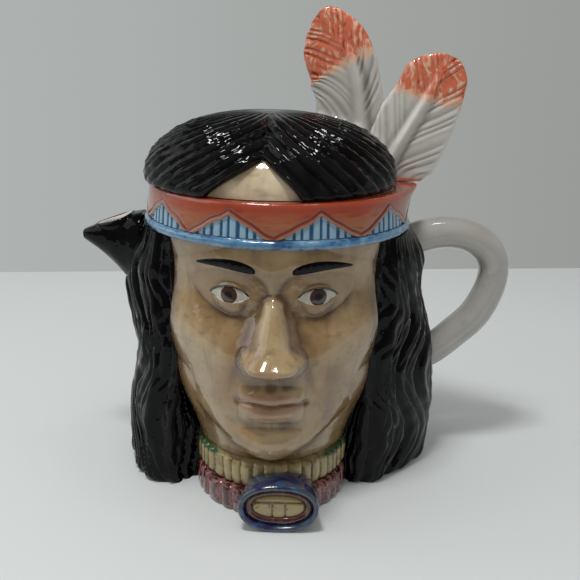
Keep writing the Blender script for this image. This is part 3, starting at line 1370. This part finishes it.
# The handle's route from the band to its lower root, as shares of its reach and of its drop
HANDLE_ROUTE = (
    (0.000, 0.153), (0.112, 0.153), (0.335, 0.102), (0.559, 0.089), (0.773, 0.125),
    (0.931, 0.217), (1.000, 0.346), (0.968, 0.501), (0.847, 0.671), (0.661, 0.799),
    (0.456, 0.915), (0.242, 0.982), (0.112, 1.000), (0.000, 1.000),
)


def make_handle():
    s = jug().handle
    start = jug().pot.belly - 1.5 * MM
    route = [(start + s.reach * out, BAND_BOTTOM - s.drop * down) for out, down in HANDLE_ROUTE]
    along = np.linspace(0, 1, 120)
    middle = np.stack(curves(route, along), axis=-1)
    a = circle(40)
    thick = s.radius * (1.0 + 0.02 * np.sin(9 * along + 1) + 0.015 * np.sin(23 * along))
    thick = (thick * (1.0 - 0.03 * np.sin(math.pi * along)))[:, None]
    flat = middle[:, None] + (thick * np.cos(a))[..., None] * beside(middle)[:, None]
    out, z = flat[..., 0], flat[..., 1]
    side = thick * np.sin(a)
    ahead_x, ahead_y, _ = polar(s.azimuth, 1.0, 0.0)
    rings = points(out * ahead_x - side * ahead_y, out * ahead_y + side * ahead_x, z)
    loft(
        "handle_glazed", rings, ends=middles(rings), slot="white_glaze",
        mat=white_glaze("handle_glaze", jug().colours.handle), nodes=("handle",),
    )


def parting(angle):
    """Height of the hair's edge over the lid's seat: raised over the bare forehead."""
    s = jug().lid
    left, right = (clamp((angle - foot) / (s.part_apex - foot)) for foot in (s.part_left, s.part_right))
    return s.part_height * np.minimum(left, right) ** 0.85


def lid_relief(angle, t):
    """Depth of the carving under the dome, on strands that sweep from the parting, and its coarse part."""
    s = jug().lid
    off = wrapped(angle - s.part_apex)
    side = np.abs(off)
    sweep = np.where(off < 0, s.sweep_left, s.sweep_right) * (1.0 - step(80.0, 175.0, side))
    sway = ripple(angle, t * 0.05, 0.05)
    start = (side - sweep * t**1.3) / 360.0
    lock_turns = s.locks * start + 0.06 * sway
    strand_turns = s.strands * start + 0.45 * sway + 0.3 * np.sin(4 * t)
    locks = s.lock_depth * grooves(lock_turns)
    strands = s.strand_depth * (grooves(strand_turns) - 0.36)
    combing = s.combing_depth * (grooves(s.combing * start + 1.2 * sway) - 0.36)
    knots = 0.30 * MM * uneven(strand_turns, 6.5 * t) + 0.25 * MM * uneven(lock_turns, 3.1 * t + 0.4)
    depth = locks + (strands + knots) * step(0.05, 0.5, t) + combing * step(0.3, 0.7, t)
    notch = 1.9 * MM * bell(off, 3.4) * step(0.10, 0.45, t)
    return depth * step(0.0, 0.5, t) * (1.0 - 0.62 * step(0.86, 1.0, t)) + notch, locks + strands


def crowns(outer, inner):
    """The two points that close the dome's crown, at depths under it."""
    return [dome_point(0.0, 0.0, depth) for depth in (outer, inner)]


def make_lid():
    s = jug().lid
    angles = around(144)
    skin = s.hair + LAYER_GAP
    foot, half = LID_SEAT - s.flange_depth, s.flange_wall * 0.5
    rows = [dome_point(angles, t, skin) for t in (*np.linspace(0.05, 0.9, 22), *np.linspace(0.92, 1.0, 6))]
    rows += [polar(angles, s.flange + 0.6 * MM, LID_SEAT), polar(angles, s.flange, LID_SEAT - 0.6 * MM)]
    for a in np.radians(np.arange(0, 181, 20)):
        rows.append(polar(angles, s.flange - half * (1 - math.cos(a)), foot + 1.0 * MM * (1 - math.sin(a))))
    rows.append(polar(angles, s.flange - s.flange_wall, LID_SEAT - MM))
    rows += [dome_point(angles, t, skin + s.wall) for t in np.linspace(0.62, 0.05, 14)]
    loft(
        "lid_shell_glazed", np.stack(rows), ends=crowns(skin, skin + s.wall), body="lid", slot="skin_glaze",
        mat=skin_glaze("forehead_glaze", False), nodes=("lid_shell",),
    )

    angles = around(600) + s.part_apex
    shares = [*np.linspace(0.03, 0.9, 74), *np.linspace(0.91, 0.985, 9), *np.linspace(0.988, 1.0, 8)]
    t, a = np.meshgrid(shares, angles, indexing="ij")
    edge_height = parting(wrapped(a)) / (CROWN_Z - LID_SEAT)
    edge = np.arccos(clamp(edge_height) ** (s.squareness / 2)) * 2 / math.pi
    depth, pooled = lid_relief(a, t * edge)
    inset = depth + 1.5 * MM * (1.0 - bow(clamp((t - 0.955) / 0.045)))
    outer = dome_point(a, t * edge, np.minimum(inset, s.hair - 0.4 * MM))
    deep = [dome_point(angles, k * edge[-1], s.hair) for k in (1.0, 0.8, 0.6, 0.4, 0.2)]
    loft(
        "lid_hair_carved", np.concatenate([outer, np.stack(deep)]),
        ends=crowns(0.0005, s.hair), body="lid", slot="black_glaze",
        mat=black_glaze("black_glaze"), nodes=("lid_hair",), ridge=clamp(1.0 - pooled / (2 * MM)),
    )


# Feathers from root to tip, as shares of the taller one's height: middle line (along, up),
# half width to the left and half width to the right
TALL_FEATHER = (
    (-0.337, 0.155, 0.272, 0.194),
    (-0.369, 0.337, 0.300, 0.170),
    (-0.395, 0.538, 0.300, 0.135),
    (-0.447, 0.687, 0.310, 0.150),
    (-0.528, 0.800, 0.270, 0.165),
    (-0.600, 0.895, 0.225, 0.130),
    (-0.655, 0.952, 0.150, 0.090),
    (-0.680, 0.972, 0.075, 0.045),
)
SHORT_FEATHER = (
    (-0.188, 0.003, 0.155, 0.188),
    (-0.153, 0.142, 0.194, 0.253),
    (-0.062, 0.317, 0.227, 0.246),
    (0.028, 0.479, 0.215, 0.212),
    (0.090, 0.605, 0.215, 0.172),
    (0.120, 0.675, 0.165, 0.145),
    (0.142, 0.728, 0.090, 0.090),
    (0.150, 0.748, 0.045, 0.045),
)


def make_feather(node, form, set_back, shaft_height, tip_from, slope, quiet, wash, mat):
    """A feather with its coral tip; slope tilts the tip's edge and quiet calms the barbs under it."""
    s, lid = jug().feather, jug().lid
    shares = 1.0 - (1.0 - np.linspace(0, 1, 150)) ** 1.2
    u, up, left, right = (s.height * curve for curve in curves(form, shares))
    spine = np.stack([u, LID_SEAT + up], axis=-1)
    gone = np.concatenate([[0.0], np.cumsum(np.linalg.norm(np.diff(spine, axis=0), axis=1))])[:, None]
    along = gone / gone[-1]
    v = np.sin(np.linspace(-0.5, 0.5, 89) * math.pi)
    off, rightward = np.abs(v), v > 0
    width = np.where(v < 0, left[:, None], right[:, None])

    # Barbs that lean up from the shaft, broad and fine
    barb_line = (gone - off * width * s.barb_lean + 0.12 * (off * width) ** 2 / 0.02) / s.barb
    sway = 0.32 * np.sin(2.3 * barb_line) + 0.3 * np.sin(1.1 * barb_line + 2 * np.sign(v))
    barbs, fine = carved(barb_line + sway), carved(barb_line / 0.36 + 2.0 * sway)
    side = v * width * (1.0 + 0.014 * barbs * step(0.5, 1.0, off) * step(1.0, 0.8, along))
    body = 0.5 * s.thickness * (1.25 - 0.55 * along) * (1.0 - off**3.2) ** 0.55
    away = step(0.06, 0.3, off) * step(1.0, 0.85, off)
    plain = 1.0 - quiet * step(tip_from, tip_from - 0.10, along) * (v < 0)
    carving = away * plain * (s.barb_depth * barbs + 0.16 * MM * fine) * step(0.02, 0.14, along)
    spread = np.abs(side) / s.shaft_width
    shaft = shaft_height * np.exp(-(spread**2.2)) * (1.0 - along**2.5)
    beside_shaft = bell(spread - 1.8, 0.6)
    front = body + carving + shaft - (0.5 + 0.4 * rightward) * MM * beside_shaft * (1.0 - along**2)
    behind = -body - 0.7 * carving[:, ::-1] - 0.6 * shaft
    across = beside(spine)[:, None]
    turned = math.radians(s.turned)

    def place(side, w):
        plane = spine[:, None] + side[..., None] * across
        out, w = plane[..., 0], w - set_back
        x = lid.centre + lid.radius + s.root + out * math.cos(turned) - w * math.sin(turned)
        return points(x, s.root_y - out * math.sin(turned) - w * math.cos(turned), plane[..., 1])

    def dome_share(at):
        """How far out points lie: 1 on the dome, less inside it."""
        r = np.hypot(at[..., 0] - lid.centre, at[..., 1]) / lid.radius
        h = np.maximum(at[..., 2] - LID_SEAT, 0.0) / (CROWN_Z - LID_SEAT)
        return (r**lid.squareness + h**lid.squareness) ** (1.0 / lid.squareness)

    def both_sides(front, behind):
        """Rings round the feather from its front and back, which share their edges."""
        return np.concatenate([front, behind[:, ::-1][:, 1:-1]], axis=1)

    # A thick foot of slip where the feather meets the dome
    off_dome = np.maximum(dome_share(place(side, front)) - 1.0, 0.0) * lid.radius
    foot = 1.5 * MM * np.exp(-off_dome / (1.6 * MM)) * step(1.0, 0.9, off)
    rings = both_sides(place(side, front + foot), place(side, behind - foot))
    # What would lie inside the dome stays in the thickness of its hair
    inside = dome_share(rings)
    least = 1.0 - 2.2 * MM / lid.radius
    pull = np.where(inside < least, least / np.maximum(inside, 0.2), 1.0)[..., None]
    heart = np.array([lid.centre, 0.0, LID_SEAT])
    rings = heart + (rings - heart) * pull
    rings[..., 2] = np.maximum(rings[..., 2], LID_SEAT + 0.2 * MM)

    tip = along + 0.035 * barbs + 0.02 * fine - slope * v - tip_from
    pool = clamp(0.45 - barbs) * away + beside_shaft * (0.5 + 0.5 * rightward) + wash
    tip, pool, ridge = (both_sides(g, g) for g in (tip, pool, clamp(barbs + 0.64)))
    # Coral that ran onto the foot where it stands over the headband's flare
    angle = np.degrees(np.arctan2(rings[..., 0], -rings[..., 1]))
    from_flare = np.abs(wrapped(angle - jug().band.seat_angle)) / 60.0
    blush = step(LID_SEAT + 3.5 * MM, LID_SEAT, rings[..., 2]) * step(0.5, 0.0, from_flare)
    loft(
        node + "_glazed", rings, ends=middles(rings), body="lid", slot="white_glaze", mat=mat, nodes=(node,),
        tip=tip, pool=pool, ridge=ridge, blush=blush,
    )


def make_feathers():
    s, mat = jug().feather, feather_glaze()
    make_feather("feather_tall", TALL_FEATHER, s.set_back, 0.5 * s.shaft, 0.60, 0.0, 0.35, 0.35, mat)
    make_feather("feather_short", SHORT_FEATHER, 0.0, 1.25 * s.shaft, 0.65, 0.065, 0.75, 0.0, mat)


# The stage

CAMERA_PLACE = (0.00682, -0.372, 0.20078)
CAMERA_PITCH, CAMERA_ROLL = math.radians(16.9), math.radians(1.45)
SENSOR = 36
LENS = 794 / 580 * SENSOR
LAMP_TARGET = Vector((0, 0, 0.1))
# Name, place, size and share of the lamp's power
LAMPS = (
    ("ceiling_lamp", (-0.15, -0.27, 0.92), (0.20, 0.10), 1.05),
    ("side_lamp", (-1.00, -0.05, 0.75), (1.10, 0.80), 0.6),
    ("far_lamp", (0.28, -0.05, 1.10), (0.16, 0.10), 0.10),
)


def make_table():
    s, c = jug().stage, jug().colours
    rise = s.slant * s.table
    mesh = bpy.data.meshes.new("table")
    corners = [(-s.table, s.near_edge, 0), (s.table, s.near_edge, 0)]
    corners += [(s.table, s.far_edge + rise, 0), (-s.table, s.far_edge - rise, 0)]
    mesh.from_pydata(corners, [], [(0, 1, 2, 3)])
    tree = Tree(bpy.data.materials.new("table_top"))
    colour = (tree.grain(6.0) * 0.06).mix(c.table, c.wall)
    tree.feed(tree.nodes["Principled BSDF"], {"Base Color": colour, "Roughness": 0.55})
    mesh.materials.append(tree.owner)
    add_object("table", mesh)


def make_room():
    """Even light from all round, and walls and a ceiling that are seen and mirrored but give no light."""
    s, c = jug().stage, jug().colours
    world = bpy.context.scene.world = bpy.data.worlds.new("room")
    tree = Tree(world)
    even = tree.nodes["Background"]
    tree.feed(even, {0: (1.0, 1.0, 1.0, 1.0), 1: s.sky})
    toward = tree.node("SeparateXYZ", {0: tree.node("TexCoord").out("Generated")})
    rays = tree.node("LightPath")
    mirrored = rays.out("Is Glossy Ray")
    room = toward.out("X").run(-0.5, 0.5).mix(c.wall, c.wall_far)
    room = toward.out("Z").run(0.30, 0.75).mix(room, c.ceiling)
    room = (toward.out("Y").run(0.25, -0.45) * mirrored).mix(room, c.near_side)
    seen = tree.node("Background", {0: room, 1: 1.0})
    shown = rays.out("Is Camera Ray").math("MAXIMUM", mirrored)
    shown = shown.math("MAXIMUM", rays.out("Is Transmission Ray"))
    light = tree.node("MixShader", {0: shown, 1: Shade(tree, even.outputs[0]), 2: seen})
    tree.feed(tree.nodes["World Output"], {0: light})


def make_stage():
    make_table()
    make_room()
    for name, place, size, power in LAMPS:
        data = bpy.data.lights.new(name, "AREA")
        data.shape = "RECTANGLE"
        data.size, data.size_y = size
        data.energy = power * jug().stage.lamp_power
        lamp = add_object(name, data)
        lamp.location = place
        lamp.rotation_euler = (Vector(place) - LAMP_TARGET).to_track_quat("Z", "Y").to_euler()

    data = bpy.data.cameras.new("camera")
    data.lens, data.sensor_width = LENS, SENSOR
    scene = bpy.context.scene
    scene.camera = camera = add_object("camera", data)
    ahead = Vector((0, math.cos(CAMERA_PITCH), -math.sin(CAMERA_PITCH)))
    level_up, level_right = Vector((0, math.sin(CAMERA_PITCH), math.cos(CAMERA_PITCH))), Vector((1, 0, 0))
    right = math.cos(CAMERA_ROLL) * level_right + math.sin(CAMERA_ROLL) * level_up
    up = math.cos(CAMERA_ROLL) * level_up - math.sin(CAMERA_ROLL) * level_right
    camera.matrix_world = Matrix.Translation(CAMERA_PLACE) @ Matrix((right, up, -ahead)).transposed().to_4x4()
    scene.view_settings.view_transform = "Standard"


# Operators and panel


class FACE_JUG_OT_stage(bpy.types.Operator):
    """Sets the table, the lamps and the camera"""

    bl_idname = "face_jug.stage"
    bl_label = "Table, lamps and camera"

    def execute(self, context):
        make_stage()
        return {"FINISHED"}


class FACE_JUG_OT_body_wall(bpy.types.Operator):
    """Throws the pot's wall with its rim and spout hole"""

    bl_idname = "face_jug.body_wall"
    bl_label = "Pot wall"

    def execute(self, context):
        make_body_wall()
        return {"FINISHED"}


class FACE_JUG_OT_face(bpy.types.Operator):
    """Models and paints the face"""

    bl_idname = "face_jug.face"
    bl_label = "Face"

    def execute(self, context):
        make_face()
        make_brows()
        return {"FINISHED"}


class FACE_JUG_OT_long_hair(bpy.types.Operator):
    """Carves the hair at both sides and at the back"""

    bl_idname = "face_jug.long_hair"
    bl_label = "Long hair"

    def execute(self, context):
        make_long_hair()
        return {"FINISHED"}


class FACE_JUG_OT_headband(bpy.types.Operator):
    """Models the headband and its rolled rim"""

    bl_idname = "face_jug.headband"
    bl_label = "Headband"

    def execute(self, context):
        make_headband()
        return {"FINISHED"}


class FACE_JUG_OT_collar(bpy.types.Operator):
    """Models the two bead rows"""

    bl_idname = "face_jug.collar"
    bl_label = "Collar"

    def execute(self, context):
        make_collar()
        return {"FINISHED"}


class FACE_JUG_OT_medallion(bpy.types.Operator):
    """Models the oval medallion"""

    bl_idname = "face_jug.medallion"
    bl_label = "Medallion"

    def execute(self, context):
        make_medallion()
        return {"FINISHED"}


class FACE_JUG_OT_spout(bpy.types.Operator):
    """Models the open beak spout"""

    bl_idname = "face_jug.spout"
    bl_label = "Spout"

    def execute(self, context):
        make_spout()
        return {"FINISHED"}


class FACE_JUG_OT_handle(bpy.types.Operator):
    """Rolls the loop handle"""

    bl_idname = "face_jug.handle"
    bl_label = "Handle"

    def execute(self, context):
        make_handle()
        return {"FINISHED"}


class FACE_JUG_OT_lid(bpy.types.Operator):
    """Models the lid's shell and its carved hair"""

    bl_idname = "face_jug.lid"
    bl_label = "Lid"

    def execute(self, context):
        make_lid()
        return {"FINISHED"}


class FACE_JUG_OT_feathers(bpy.types.Operator):
    """Models and paints the two feathers"""

    bl_idname = "face_jug.feathers"
    bl_label = "Feathers"

    def execute(self, context):
        make_feathers()
        return {"FINISHED"}


OPERATORS = (
    FACE_JUG_OT_stage, FACE_JUG_OT_body_wall, FACE_JUG_OT_face, FACE_JUG_OT_long_hair, FACE_JUG_OT_headband,
    FACE_JUG_OT_collar, FACE_JUG_OT_medallion, FACE_JUG_OT_spout, FACE_JUG_OT_handle, FACE_JUG_OT_lid,
    FACE_JUG_OT_feathers,
)


class FACE_JUG_PT_panel(bpy.types.Panel):
    """Lists the steps that build the jug"""

    bl_label = "Face jug"
    bl_idname = "FACE_JUG_PT_panel"
    bl_space_type = "VIEW_3D"
    bl_region_type = "UI"
    bl_category = "Face jug"

    def draw(self, context):
        for operator in OPERATORS:
            self.layout.operator(operator.bl_idname)


CLASSES = (
    PotSizes, FaceSizes, HairSizes, BandSizes, CollarSizes, MedallionSizes, SpoutSizes, HandleSizes,
    LidSizes, FeatherSizes, GlazeColours, StageSizes, FaceJug, *OPERATORS, FACE_JUG_PT_panel,
)


def register():
    for kind in CLASSES:
        bpy.utils.register_class(kind)
    bpy.types.Scene.face_jug = PointerProperty(type=FaceJug)


def unregister():
    del bpy.types.Scene.face_jug
    for kind in reversed(CLASSES):
        bpy.utils.unregister_class(kind)


def main():
    register()
    bpy.ops.face_jug.stage()
    bpy.ops.face_jug.body_wall()
    bpy.ops.face_jug.face()
    bpy.ops.face_jug.long_hair()
    bpy.ops.face_jug.headband()
    bpy.ops.face_jug.collar()
    bpy.ops.face_jug.medallion()
    bpy.ops.face_jug.spout()
    bpy.ops.face_jug.handle()
    bpy.ops.face_jug.lid()
    bpy.ops.face_jug.feathers()


if __name__ == "__main__":
    main()
